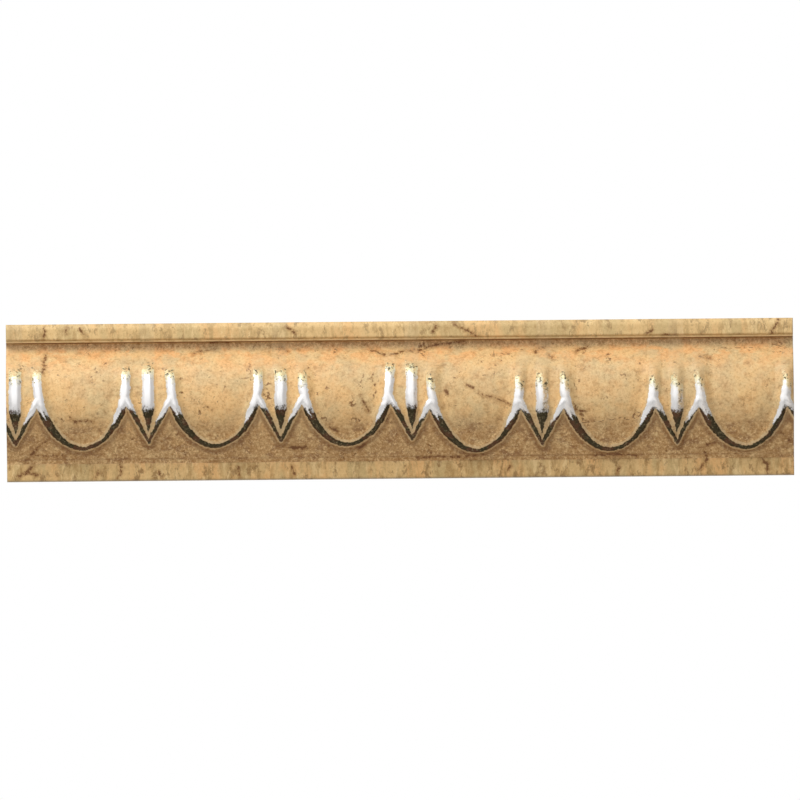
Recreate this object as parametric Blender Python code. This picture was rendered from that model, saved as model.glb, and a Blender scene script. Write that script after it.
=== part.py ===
"""Egg-and-dart border moulding, one pressed and glazed ceramic piece.

X runs along the piece, Z goes up its face, and the face looks along -Y.
The origin is the centre of the flat back. All sizes are in metres.
Places on the face are given as `along`, from the left end, and `down`, from the top edge.
Depths are measured out from the back.
"""

import bmesh
import bpy
import numpy as np
from mathutils import Vector
from mathutils.geometry import delaunay_2d_cdt

LENGTH = 0.250
HEIGHT = 0.050

# Fillets, bevel, quirk and cove along the upper and lower edges
FILLET_DEPTH = 0.0080
BEVEL_DOWN = 0.0015
BEVEL_DROP = 0.0008
TOP_FILLET_DOWN = 0.0050
LEDGE_DOWN = 0.0058
LEDGE_DEPTH = 0.0073
QUIRK_DOWN = 0.0063
COVE_DOWN = 0.0068
COVE_DEPTH = 0.0056
LOWER_FILLET_DOWN = 0.0444
BOTTOM_EDGE_DOWN = 0.0496
BOTTOM_EDGE_DROP = 0.0005

# The fat round that carries the ornament
CREST_DOWN = 0.0255
CREST_DEPTH = 0.0165
UPPER_RADIUS = 0.0185
LOWER_RADIUS = 0.0155
FLOOR_SLOPE = 0.47
FLOOR_EASE = 0.0010

# One repeat runs from dart to dart, with the egg's centre half way
PITCH = 0.042
HALF_PITCH = PITCH / 2
FIRST_DART = 0.0028

# The raised frame of an egg: two stems that turn into an arch
ARCH_CENTRE_DOWN = 0.0183
ARCH_HALF_WIDTH = 0.01395
ARCH_DROP = 0.02085
ARCH_POWER = 1.87
STEM_TOP_ACROSS = 0.00675
STEM_START_DOWN = 0.0115
STEM_FULL_DOWN = 0.0180
FORK_ACROSS = 0.0071
FORK_DOWN = 0.0236
V_TIP_DOWN = 0.0377
FRAME_RISE = 0.0012
FRAME_RISE_ON_FLOOR = 0.0021
BAND_WIDE = 0.0014
BAND_NARROW = 0.00035
BAND_NARROWS_FROM = 0.0220
V_BAND_WIDE = 0.0011
V_BAND_NARROW = 0.00035
OUTER_SLOPE = 0.0011
DART_SIDE_SLOPE = 0.0009
EGG_SIDE_WIDE = 0.0039
EGG_SIDE_NARROW = 0.0020

# The egg inside the frame, and the dart between two frames
EGG_HALF_WIDTH = 0.0100
EGG_CENTRE_DOWN = 0.0160
EGG_DROP = 0.0212
EGG_ROUNDING = 0.0005
EGG_SUNK = 0.0017
EGG_SUNK_LOW = 0.0007
DART_HALF_WIDTH = 0.00185
DART_TAPERS_FROM = 0.0273
DART_TIP_DOWN = 0.0344
DART_RISE = 0.0013
DART_SLOPE = 0.0007

# Hand modelling: how far the ornament hangs below its first line, and slips along the piece
HANG_ALONG = (0.000, 0.024, 0.045, 0.107, 0.130, 0.136, 0.149, 0.170, 0.191, 0.213, 0.234, 0.250)
HANG = (0.0004, 0.0004, 0.0, -0.0001, -0.0001, 0.0018, 0.0022, 0.0017, 0.0021, 0.0017, 0.0018, 0.0017)
SLIP_ALONG = (0.000, 0.045, 0.087, 0.1288, 0.136, 0.150, 0.171, 0.192, 0.213, 0.234, 0.250)
SLIP = (0.0, 0.0003, 0.0003, 0.0, -0.0011, -0.0008, -0.0007, -0.0005, 0.0001, 0.0005, 0.0)
HANG_FROM = 0.0095
HANG_WHOLE = 0.0180
HANG_FADES = 0.0395
HANG_GONE = 0.0440

# Keying recesses of the back
RECESS_COLUMNS = 12
RECESS_ROWS = 2
BACK_MARGIN = 0.005
COLUMN_LAND = 0.004
ROW_LAND = 0.006
RECESS_DEPTH = 0.0008
RECESS_DRAFT = 0.0005

# Spacing of the facets
COLUMN_STEP = 0.0028
FILL_STEP = 0.0024
LINE_STEP = 0.0011
CLOSEST = 0.00060
END_CLEARANCE = 0.0009
MERGE_EPSILON = 1e-7

GLAZE_COLOUR = (0.62, 0.45, 0.27, 1.0)
GLAZE_ROUGHNESS = 0.35


def smooth(value, start, end):
    """0 before start, 1 after end, with an eased rise between them."""
    share = np.clip((value - start) / (end - start), 0.0, 1.0)
    return share * share * (3.0 - 2.0 * share)


def eased_steps(along, places, values):
    """The values at the places, with an eased change from each to the next."""
    places = np.asarray(places)
    values = np.asarray(values)
    index = np.clip(np.searchsorted(places, along, side="right") - 1, 0, len(places) - 2)
    share = smooth(along, places[index], places[index + 1])
    return values[index] + (values[index + 1] - values[index]) * share


def hand_modelled(along, down):
    """Moves a point of the even pattern to where the modeller's hand put it."""
    window = smooth(down, HANG_FROM, HANG_WHOLE) * (1.0 - smooth(down, HANG_FADES, HANG_GONE))
    slip = eased_steps(along, SLIP_ALONG, SLIP) * window
    hang = eased_steps(along, HANG_ALONG, HANG) * window
    return along + slip, down + hang


def round_depth(down):
    """The fat round without its ornament, an upper and a lower arc that meet at the crest."""
    radius = np.where(down < CREST_DOWN, UPPER_RADIUS, LOWER_RADIUS)
    reach = np.clip(np.abs(down - CREST_DOWN), 0.0, 0.93 * radius)
    return CREST_DEPTH - radius + np.sqrt(radius**2 - reach**2)


def floor_depth(down):
    """The sunk ground under the frames, which eases out into the lower fillet."""
    rise = np.clip(LOWER_FILLET_DOWN - down, 0.0, None)
    return FILLET_DEPTH + FLOOR_SLOPE * rise**2 / (rise + FLOOR_EASE)


def cove_radius():
    """The radius of the cove that touches both the quirk's floor and the fat round."""
    width = CREST_DOWN - COVE_DOWN
    height = COVE_DEPTH - CREST_DEPTH + UPPER_RADIUS
    return (width**2 + height**2 - UPPER_RADIUS**2) / (2.0 * (UPPER_RADIUS - height))


def cove_end():
    """How far down the cove turns into the fat round."""
    radius = cove_radius()
    return COVE_DOWN + (CREST_DOWN - COVE_DOWN) * radius / (UPPER_RADIUS + radius)


def upper_edge_depth(down):
    """Bevel, fillet, ledge, quirk and cove, down to the fat round."""
    radius = cove_radius()
    reach = np.clip(down - COVE_DOWN, 0.0, 0.999 * radius)
    cove = COVE_DEPTH + radius - np.sqrt(radius**2 - reach**2)
    stations = (0.0, BEVEL_DOWN, TOP_FILLET_DOWN, TOP_FILLET_DOWN + 0.00025, LEDGE_DOWN, QUIRK_DOWN)
    depths = (FILLET_DEPTH - BEVEL_DROP, FILLET_DEPTH, FILLET_DEPTH, LEDGE_DEPTH, LEDGE_DEPTH, COVE_DEPTH)
    return np.where(down < COVE_DOWN, np.interp(down, stations, depths), cove)


def lower_edge_depth(down):
    """The lower fillet and its small rounded bottom edge."""
    stations = (LOWER_FILLET_DOWN, BOTTOM_EDGE_DOWN, HEIGHT)
    return np.interp(down, stations, (FILLET_DEPTH, FILLET_DEPTH, FILLET_DEPTH - BOTTOM_EDGE_DROP))


def arch_path(count):
    """The crest of half a frame, from the top of its stem to the foot of the arch."""
    turn = np.linspace(0.0, np.pi / 2, count)
    power = 2.0 / ARCH_POWER
    across = HALF_PITCH - ARCH_HALF_WIDTH * np.cos(turn).clip(0.0) ** power
    down = ARCH_CENTRE_DOWN + ARCH_DROP * np.sin(turn).clip(0.0) ** power
    stem = np.array([[STEM_TOP_ACROSS, STEM_START_DOWN]])
    return np.vstack([stem, np.column_stack([across, down])])


def v_path():
    """The crest of half the V that joins two frames under a dart."""
    return np.array([[FORK_ACROSS, FORK_DOWN], [0.0, V_TIP_DOWN]])


def distance_to(path, across, down):
    """The shortest distance from each point to a path of straight stretches."""
    nearest = np.full(across.shape, np.inf)
    for start, end in zip(path[:-1], path[1:]):
        step = end - start
        share = ((across - start[0]) * step[0] + (down - start[1]) * step[1]) / (step @ step)
        share = np.clip(share, 0.0, 1.0)
        gap = np.hypot(across - start[0] - share * step[0], down - start[1] - share * step[1])
        nearest = np.minimum(nearest, gap)
    return nearest


def arch_band(down):
    """Half the width of the flat band along the crest of a frame."""
    share = np.clip((down - BAND_NARROWS_FROM) / (V_TIP_DOWN - BAND_NARROWS_FROM + 0.0015), 0.0, 1.0)
    return BAND_WIDE - (BAND_WIDE - BAND_NARROW) * share**1.6


def v_band(down):
    """Half the width of the band along the crest of the V."""
    share = np.clip((down - FORK_DOWN) / (V_TIP_DOWN - FORK_DOWN), 0.0, 1.0)
    return V_BAND_WIDE + (V_BAND_NARROW - V_BAND_WIDE) * share


def egg_side_slope(down):
    """The width of the slope from a frame's crest down to its egg."""
    share = np.clip((down - BAND_NARROWS_FROM) / (V_TIP_DOWN - BAND_NARROWS_FROM), 0.0, 1.0)
    return EGG_SIDE_WIDE + (EGG_SIDE_NARROW - EGG_SIDE_WIDE) * share


def bump(distance, reach, power):
    """1 on a crest, falling in a rounded slope to 0 at its foot."""
    share = np.clip(distance / reach, 0.0, 1.0)
    return (1.0 - share**2) ** power


def dart_half_width(down):
    share = np.clip((down - DART_TAPERS_FROM) / (DART_TIP_DOWN - DART_TAPERS_FROM), 0.0, 1.0)
    return DART_HALF_WIDTH * (1.0 - share)


def crest_depth(down):
    """The depth of the frames' crest: above the round on the stems, above the floor further down."""
    starts = smooth(down, STEM_START_DOWN, STEM_FULL_DOWN)
    on_round = round_depth(down) + FRAME_RISE * starts
    on_floor = floor_depth(down) + FRAME_RISE_ON_FLOOR
    return on_round + (on_floor - on_round) * smooth(down, CREST_DOWN - 0.001, CREST_DOWN + 0.0055)


def ornament_depth(across, pattern_down, down):
    """Eggs, darts, frames and the ground under them, for a point `across` from its dart's centre."""
    arch_gap = distance_to(arch_path(24), across, pattern_down)
    v_gap = distance_to(v_path(), across, pattern_down)
    crest = crest_depth(down)
    field = round_depth(down)
    floor = floor_depth(down)

    reach_up = np.clip((pattern_down - ARCH_CENTRE_DOWN) / ARCH_DROP, 0.0, None)
    reach_side = np.clip((HALF_PITCH - across) / ARCH_HALF_WIDTH, 0.0, None)
    in_arch = reach_up**ARCH_POWER + reach_side**ARCH_POWER < 1.0
    v_line = V_TIP_DOWN - (V_TIP_DOWN - FORK_DOWN) * across / FORK_ACROSS
    in_ground = ~in_arch & (pattern_down > np.maximum(v_line, FORK_DOWN - 0.0010))

    out_reach = np.maximum(arch_band(pattern_down), v_band(pattern_down)) + OUTER_SLOPE
    ground = floor + (crest - floor) * bump(np.minimum(arch_gap, v_gap), out_reach, 1.5)

    egg_radius = np.hypot((HALF_PITCH - across) / EGG_HALF_WIDTH,
                          np.clip(pattern_down - EGG_CENTRE_DOWN, 0.0, None) / EGG_DROP)
    shape = smooth(down, EGG_CENTRE_DOWN - 0.004, EGG_CENTRE_DOWN + 0.008)
    egg = field - EGG_ROUNDING * shape * np.clip(egg_radius, 0.0, 1.0) ** 4
    sunk = EGG_SUNK + (EGG_SUNK_LOW - EGG_SUNK) * smooth(down, CREST_DOWN + 0.004, V_TIP_DOWN - 0.001)
    egg = np.maximum(egg, crest - sunk)
    softness = 2.0 - 0.7 * smooth(pattern_down, CREST_DOWN, V_TIP_DOWN)
    egg = egg + (crest - egg) * bump(arch_gap, egg_side_slope(pattern_down), softness)

    on_stem = bump(arch_gap, arch_band(pattern_down) + DART_SIDE_SLOPE, 1.5)
    on_v = bump(v_gap, v_band(pattern_down) + DART_SIDE_SLOPE, 1.5)
    between = field + (crest - field) * np.maximum(on_stem, on_v)
    half_width = dart_half_width(pattern_down)
    rise = DART_RISE * smooth(down, STEM_START_DOWN, STEM_FULL_DOWN)
    rise = rise * np.clip(half_width / DART_HALF_WIDTH * 1.6, 0.0, 1.0)
    dart = field + rise * bump(across, half_width + DART_SLOPE, 1.5)
    between = np.maximum(between, dart)

    return np.where(in_ground, ground, np.where(in_arch, egg, between))


def across_from_dart(along):
    """The distance from the nearest dart's centre line."""
    return np.abs((along - FIRST_DART + HALF_PITCH) % PITCH - HALF_PITCH)


def face_points(along, pattern_down):
    """The solid's face over points of the even pattern, as rows of x, y and z."""
    moved_along, down = hand_modelled(along, pattern_down)
    depth = ornament_depth(across_from_dart(along), pattern_down, down)
    depth = np.where(down < cove_end(), upper_edge_depth(down), depth)
    depth = np.where(down > LOWER_FILLET_DOWN - MERGE_EPSILON, lower_edge_depth(down), depth)
    return np.column_stack([moved_along - LENGTH / 2, -depth, HEIGHT / 2 - down])


def resampled(path, step):
    """Points at an even step along a path of straight stretches."""
    lengths = np.hypot(*np.diff(path, axis=0).T)
    travelled = np.concatenate([[0.0], np.cumsum(lengths)])
    count = max(2, int(round(travelled[-1] / step)) + 1)
    places = np.linspace(0.0, travelled[-1], count)
    return np.column_stack([np.interp(places, travelled, path[:, i]) for i in (0, 1)])


def beside(path, offset):
    """A line of points beside a path, each moved square to it by its own offset."""
    run = np.gradient(path, axis=0)
    run /= np.hypot(run[:, 0], run[:, 1])[:, None]
    square = np.column_stack([run[:, 1], -run[:, 0]])
    return path + square * offset[:, None]


def dart_lines():
    """The centre line, the edges and the foot of half a dart."""
    downs = np.linspace(STEM_START_DOWN + 0.001, DART_TIP_DOWN, 15)
    width = dart_half_width(downs)
    lines = [np.column_stack([np.zeros(len(downs)), downs])]
    lines.append(np.column_stack([width, downs]))
    lines.append(np.column_stack([width + DART_SLOPE, downs]))
    return lines


def half_repeat_lines():
    """Every line of half a repeat that the facets follow, the sharpest first."""
    arch = resampled(arch_path(60), LINE_STEP)
    v_line = resampled(v_path(), LINE_STEP)
    v_line_out = v_band(v_line[:, 1]) + OUTER_SLOPE
    lines = [arch, v_line] + dart_lines()
    lines.append(beside(arch, -arch_band(arch[:, 1]) - OUTER_SLOPE))
    lines.append(beside(v_line, -v_line_out))
    lines.append(beside(v_line, v_line_out + DART_SIDE_SLOPE - OUTER_SLOPE))
    lines.append(beside(arch, egg_side_slope(arch[:, 1]) * 0.45))
    lines.append(beside(arch, egg_side_slope(arch[:, 1])))
    return lines


def profile_rows():
    """The straight lines that run the whole length, above and below the ornament."""
    upper = [0.0, BEVEL_DOWN, TOP_FILLET_DOWN, TOP_FILLET_DOWN + 0.00025, LEDGE_DOWN, QUIRK_DOWN]
    cove = list(np.linspace(COVE_DOWN, cove_end(), 4))
    return upper + cove + [LOWER_FILLET_DOWN - 0.0012, LOWER_FILLET_DOWN, BOTTOM_EDGE_DOWN, HEIGHT]


def spread(candidates, kept, gap):
    """Adds to the kept points each candidate that is at least the gap away from them all."""
    for point in candidates:
        if not kept or np.hypot(*(np.array(kept) - point).T).min() >= gap:
            kept.append(point)
    return kept


def half_repeat_points():
    """The points of half a repeat between the profile rows, as distances across and down."""
    top = cove_end() + 0.0012
    bottom = LOWER_FILLET_DOWN - 0.0020
    kept = []
    for line in half_repeat_lines():
        inside = (line[:, 0] > -MERGE_EPSILON) & (line[:, 0] < HALF_PITCH + MERGE_EPSILON)
        inside &= (line[:, 1] > top) & (line[:, 1] < bottom)
        spread(line[inside], kept, CLOSEST)
    acrosses = np.linspace(0.0, HALF_PITCH, int(round(HALF_PITCH / FILL_STEP)) + 1)
    downs = np.linspace(top, bottom, int(round((bottom - top) / FILL_STEP)) + 1)
    fill = np.stack(np.meshgrid(acrosses, downs), axis=-1).reshape(-1, 2)
    return np.array(spread(fill, kept, 0.62 * FILL_STEP))


def pattern_points():
    """All points of the face, in the even pattern, with the outline's own points last."""
    half = half_repeat_points()
    inner = []
    for index in range(int(LENGTH / PITCH) + 2):
        centre = FIRST_DART + index * PITCH
        inner += [np.column_stack([centre + side * half[:, 0], half[:, 1]]) for side in (1, -1)]
    inner = np.vstack(inner)
    inner = inner[(inner[:, 0] > END_CLEARANCE) & (inner[:, 0] < LENGTH - END_CLEARANCE)]

    columns = np.linspace(0.0, LENGTH, int(round(LENGTH / COLUMN_STEP)) + 1)
    rows = profile_rows()
    ends = np.linspace(cove_end(), LOWER_FILLET_DOWN - 0.0012, 20)[1:-1]
    straight = [[column, row] for row in rows for column in columns]
    straight += [[end, down] for end in (0.0, LENGTH) for down in ends]
    points = np.vstack([inner, np.array(straight)])
    return np.unique(np.round(points, 7), axis=0)


def triangles_over(points, edges=()):
    """The Delaunay triangles over flat points, which keep the order of the points."""
    flat = [Vector((float(point[0]), float(point[1]))) for point in points]
    result = delaunay_2d_cdt(flat, list(edges), [], 0, MERGE_EPSILON)
    sources = [source[0] for source in result[3]]
    return [[sources[index] for index in face] for face in result[2]]


def outline_order(points):
    """The indices of the outline's points, in order round the face."""
    along, down = points[:, 0], points[:, 1]
    top = np.flatnonzero(down < MERGE_EPSILON)
    right = np.flatnonzero(along > LENGTH - MERGE_EPSILON)
    bottom = np.flatnonzero(down > HEIGHT - MERGE_EPSILON)
    left = np.flatnonzero(along < MERGE_EPSILON)
    order = list(top[np.argsort(along[top])])
    order += list(right[np.argsort(down[right])][1:])
    order += list(bottom[np.argsort(-along[bottom])][1:])
    order += list(left[np.argsort(-down[left])][1:-1])
    return order


def recess_rectangles():
    """The keying recesses of the back, as low and high corners along and down."""
    width = (LENGTH - 2 * BACK_MARGIN - (RECESS_COLUMNS - 1) * COLUMN_LAND) / RECESS_COLUMNS
    height = (HEIGHT - 2 * BACK_MARGIN - (RECESS_ROWS - 1) * ROW_LAND) / RECESS_ROWS
    rectangles = []
    for column in range(RECESS_COLUMNS):
        for row in range(RECESS_ROWS):
            low_along = BACK_MARGIN + column * (width + COLUMN_LAND)
            low_down = BACK_MARGIN + row * (height + ROW_LAND)
            rectangles.append((low_along, low_down, low_along + width, low_down + height))
    return rectangles


def corners(rectangle, inset=0.0):
    low_along, low_down, high_along, high_down = rectangle
    return [
        (low_along + inset, low_down + inset),
        (high_along - inset, low_down + inset),
        (high_along - inset, high_down - inset),
        (low_along + inset, high_down - inset),
    ]


def add_face(mesh, points, pattern):
    """The ornamented face. Returns its vertices in the order of the points."""
    vertices = [mesh.verts.new(point) for point in points]
    for face in triangles_over(pattern):
        mesh.faces.new([vertices[index] for index in face])
    return vertices


def add_back(mesh, outline):
    """The flat back with its recesses. Returns the vertices of its outline."""
    rectangles = recess_rectangles()
    flat = list(outline)
    edges = []
    for rectangle in rectangles:
        start = len(flat)
        flat += corners(rectangle)
        edges += [(start + index, start + (index + 1) % 4) for index in range(4)]
    vertices = [mesh.verts.new((along - LENGTH / 2, 0.0, HEIGHT / 2 - down)) for along, down in flat]
    for face in triangles_over(flat, edges):
        along, down = np.mean([flat[index] for index in face], axis=0)
        if not any(r[0] < along < r[2] and r[1] < down < r[3] for r in rectangles):
            mesh.faces.new([vertices[index] for index in face])
    for number, rectangle in enumerate(rectangles):
        start = len(outline) + 4 * number
        rim = vertices[start:start + 4]
        floor = [mesh.verts.new((along - LENGTH / 2, -RECESS_DEPTH, HEIGHT / 2 - down))
                 for along, down in corners(rectangle, RECESS_DRAFT)]
        for index in range(4):
            following = (index + 1) % 4
            mesh.faces.new([rim[index], rim[following], floor[following], floor[index]])
        mesh.faces.new(floor)
    return vertices[:len(outline)]


def add_edges(mesh, front, back):
    """The four straight edges, as strips from the face's outline to the back's."""
    for index in range(len(front)):
        following = (index + 1) % len(front)
        mesh.faces.new([front[index], front[following], back[following], back[index]])


def glaze_material():
    material = bpy.data.materials.new("glazed_ceramic")
    material.use_nodes = True
    shader = material.node_tree.nodes["Principled BSDF"]
    shader.inputs["Base Color"].default_value = GLAZE_COLOUR
    shader.inputs["Roughness"].default_value = GLAZE_ROUGHNESS
    shader.inputs["Metallic"].default_value = 0.0
    material.diffuse_color = GLAZE_COLOUR
    return material


def make_moulding():
    pattern = pattern_points()
    order = outline_order(pattern)
    work = bmesh.new()
    front = add_face(work, face_points(pattern[:, 0], pattern[:, 1]), pattern)
    back = add_back(work, [tuple(pattern[index]) for index in order])
    add_edges(work, [front[index] for index in order], back)
    bmesh.ops.recalc_face_normals(work, faces=work.faces[:])
    bmesh.ops.triangulate(work, faces=work.faces[:])
    mesh = bpy.data.meshes.new("moulding")
    work.to_mesh(mesh)
    work.free()
    mesh.shade_smooth()
    mesh.set_sharp_from_angle(angle=np.radians(32.0))
    mesh.materials.append(glaze_material())
    bpy.context.scene.collection.objects.link(bpy.data.objects.new("moulding", mesh))


for old in list(bpy.data.objects):
    bpy.data.objects.remove(old, do_unlink=True)
make_moulding()
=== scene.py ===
"""Looks of the egg-and-dart border moulding: the glazed face, its lustre, the bare back, camera and light.

Everything is in metres in the part's own frame: X along the piece, Z up its face, the face along -Y.
Places on the face are given as `along`, from the left end, and `down`, from the top edge.
"""

import bmesh
import bpy
import numpy as np
from mathutils import Matrix, Vector
from mathutils.geometry import delaunay_2d_cdt


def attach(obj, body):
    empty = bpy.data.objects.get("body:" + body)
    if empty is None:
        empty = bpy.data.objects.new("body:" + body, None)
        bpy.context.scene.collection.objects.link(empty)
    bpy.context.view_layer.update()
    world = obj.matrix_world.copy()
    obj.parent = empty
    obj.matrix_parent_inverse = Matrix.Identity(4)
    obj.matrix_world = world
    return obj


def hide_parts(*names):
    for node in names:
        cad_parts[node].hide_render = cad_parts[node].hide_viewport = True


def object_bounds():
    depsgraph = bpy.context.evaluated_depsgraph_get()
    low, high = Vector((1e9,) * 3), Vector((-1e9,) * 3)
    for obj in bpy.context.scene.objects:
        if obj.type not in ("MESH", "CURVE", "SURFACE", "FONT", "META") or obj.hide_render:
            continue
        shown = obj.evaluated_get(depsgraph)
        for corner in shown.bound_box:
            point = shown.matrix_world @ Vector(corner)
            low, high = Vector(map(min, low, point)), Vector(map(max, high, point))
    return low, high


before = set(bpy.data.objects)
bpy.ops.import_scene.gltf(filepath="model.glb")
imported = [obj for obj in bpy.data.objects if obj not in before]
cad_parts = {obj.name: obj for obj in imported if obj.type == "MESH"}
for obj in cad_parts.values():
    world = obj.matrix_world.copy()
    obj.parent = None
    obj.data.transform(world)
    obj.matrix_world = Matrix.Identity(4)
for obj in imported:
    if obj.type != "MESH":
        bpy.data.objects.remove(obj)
cad_low, cad_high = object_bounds()
LENGTH = cad_high.x - cad_low.x
HEIGHT = cad_high.z - cad_low.z
MM = 0.001

# Fillets, bevel, quirk and cove along the upper and lower edges
FILLET_DEPTH = 0.0080
BEVEL_DOWN = 0.0015
BEVEL_DROP = 0.0008
TOP_FILLET_DOWN = 0.0050
STEP_DOWN = 0.00525
LEDGE_DOWN = 0.0058
LEDGE_DEPTH = 0.0073
QUIRK_DOWN = 0.0063
COVE_DOWN = 0.0068
COVE_DEPTH = 0.0056
LOWER_FILLET_DOWN = 0.0444
LOWER_FILLET_STEP = 0.00025
BOTTOM_EDGE_DOWN = 0.0496
BOTTOM_EDGE_DROP = 0.0005
END_ROUNDING = 0.0003

# The fat round that carries the ornament
CREST_DOWN = 0.0255
CREST_DEPTH = 0.0165
UPPER_RADIUS = 0.0185
LOWER_RADIUS = 0.0155
ARC_LIMIT = 0.93
COVE_LIMIT = 0.999
FLOOR_SLOPE = 0.47
FLOOR_EASE = 0.0010
FOLD_DOWN = 0.0431
FOLD_STEP = 0.00012

# One repeat runs from dart to dart, with the egg's centre half way
PITCH = 0.042
HALF_PITCH = PITCH / 2
FIRST_DART = 0.0028

# The raised frame of an egg: two stems that turn into an arch
ARCH_CENTRE_DOWN = 0.0183
ARCH_HALF_WIDTH = 0.01395
ARCH_DROP = 0.02085
ARCH_POWER = 1.87
STEM_TOP_ACROSS = 0.00675
STEM_START_DOWN = 0.0115
STEM_FULL_DOWN = 0.0180
FORK_ACROSS = 0.0071
FORK_DOWN = 0.0236
V_TIP_DOWN = 0.0377
FRAME_RISE = 0.0012
FRAME_RISE_ON_FLOOR = 0.0021
BAND_WIDE = 0.0014
BAND_NARROW = 0.00035
BAND_NARROWS_FROM = 0.0220
V_BAND_WIDE = 0.0011
V_BAND_NARROW = 0.00035
OUTER_SLOPE = 0.0011
DART_SIDE_SLOPE = 0.0009
EGG_SIDE_WIDE = 0.0039
EGG_SIDE_NARROW = 0.0020

# The egg inside the frame, and the dart between two frames
EGG_HALF_WIDTH = 0.0100
EGG_CENTRE_DOWN = 0.0160
EGG_DROP = 0.0212
EGG_ROUNDING = 0.0005
EGG_SUNK = 0.0017
EGG_SUNK_LOW = 0.0007
DART_HALF_WIDTH = 0.00185
DART_TAPERS_FROM = 0.0273
DART_TIP_DOWN = 0.0344
DART_RISE = 0.0013
DART_SLOPE = 0.0007
DART_CREASE = 0.00012
DART_CREASE_WIDTH = 0.0006

# Hand modelling: how far the ornament hangs below its first line, and slips along the piece
HANG_ALONG = (0.000, 0.024, 0.045, 0.107, 0.130, 0.136, 0.149, 0.170, 0.191, 0.213, 0.234, 0.250)
HANG = (0.0004, 0.0004, 0.0, -0.0001, -0.0001, 0.0018, 0.0022, 0.0017, 0.0021, 0.0017, 0.0018, 0.0017)
SLIP_ALONG = (0.000, 0.045, 0.087, 0.1288, 0.136, 0.150, 0.171, 0.192, 0.213, 0.234, 0.250)
SLIP = (0.0, 0.0003, 0.0003, 0.0, -0.0011, -0.0008, -0.0007, -0.0005, 0.0001, 0.0005, 0.0)
HANG_FROM = 0.0095
HANG_WHOLE = 0.0180
HANG_FADES = 0.0395
HANG_GONE = 0.0440

# Small unevenness of the pressed surface: cell size, height and seed of each layer
LUMPS = ((0.0090, 0.00007, 11), (0.0035, 0.00004, 12), (0.0014, 0.00002, 13))
EDGE_WOBBLE = ((0.0026, 0.00016, 21), (0.0011, 0.00008, 22))

# Half the width of the painted lustre on frames, the V and darts
LUSTRE_WIDE = 0.0015
LUSTRE_NARROW = 0.0007
LUSTRE_NARROWS_FROM = 0.0280
LUSTRE_LESS_ON_RIGHT = 0.0008
LESS_FROM = 0.0285
LESS_WHOLE = 0.0335
LESS_FADES = 0.0350
LESS_FADED = 0.0385
V_LUSTRE_WIDE = 0.0012
V_LUSTRE_NARROW = 0.0005
DART_LUSTRE_EXTRA = 0.00015

# Keying recesses of the back
RECESS_COLUMNS = 12
RECESS_ROWS = 2
BACK_MARGIN = 0.005
COLUMN_LAND = 0.004
ROW_LAND = 0.006
RECESS_DEPTH = 0.0008
RECESS_DRAFT = 0.0005

# Painted reflection: the lustre is bright above these lines of the pattern, and painted dark below them,
# where it looks down and reflects the shade below
DARK_FROM = 0.0264
DARK_FROM_ON_DART = 0.0274
# Sides that face left, towards the light, keep the bright lustre further down before the painted dark
DARK_LOWER_FACING_RIGHT = 0.0024
DARK_LOWER_FACING_LEFT = 0.0080
CREST_SIDES = 0.0013

# Painted reflection: right of here the lustre is taken off the right-hand side of the darts and stems, which
# turn away from the light and lose its reflection
UNLIT_SIDE_FROM = 0.110
UNLIT_SIDE_WHOLE = 0.165
STEM_UNLIT_TO = 0.0190
STEM_KEPT_FROM = 0.0220
KEPT_ON_STEM = 0.75

# Where the lustre starts on the left stem, the dart and the right stem of each repeat, in mm down
LUSTRE_TOPS = (
    (14.5, 14.5, 14.5),
    (14.0, 13.2, 14.6),
    (14.8, 14.8, 16.0),
    (13.0, 13.2, 17.0),
    (17.0, 16.5, 16.0),
    (17.5, 17.5, 16.8),
    (17.0, 17.0, 17.0),
)

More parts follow.
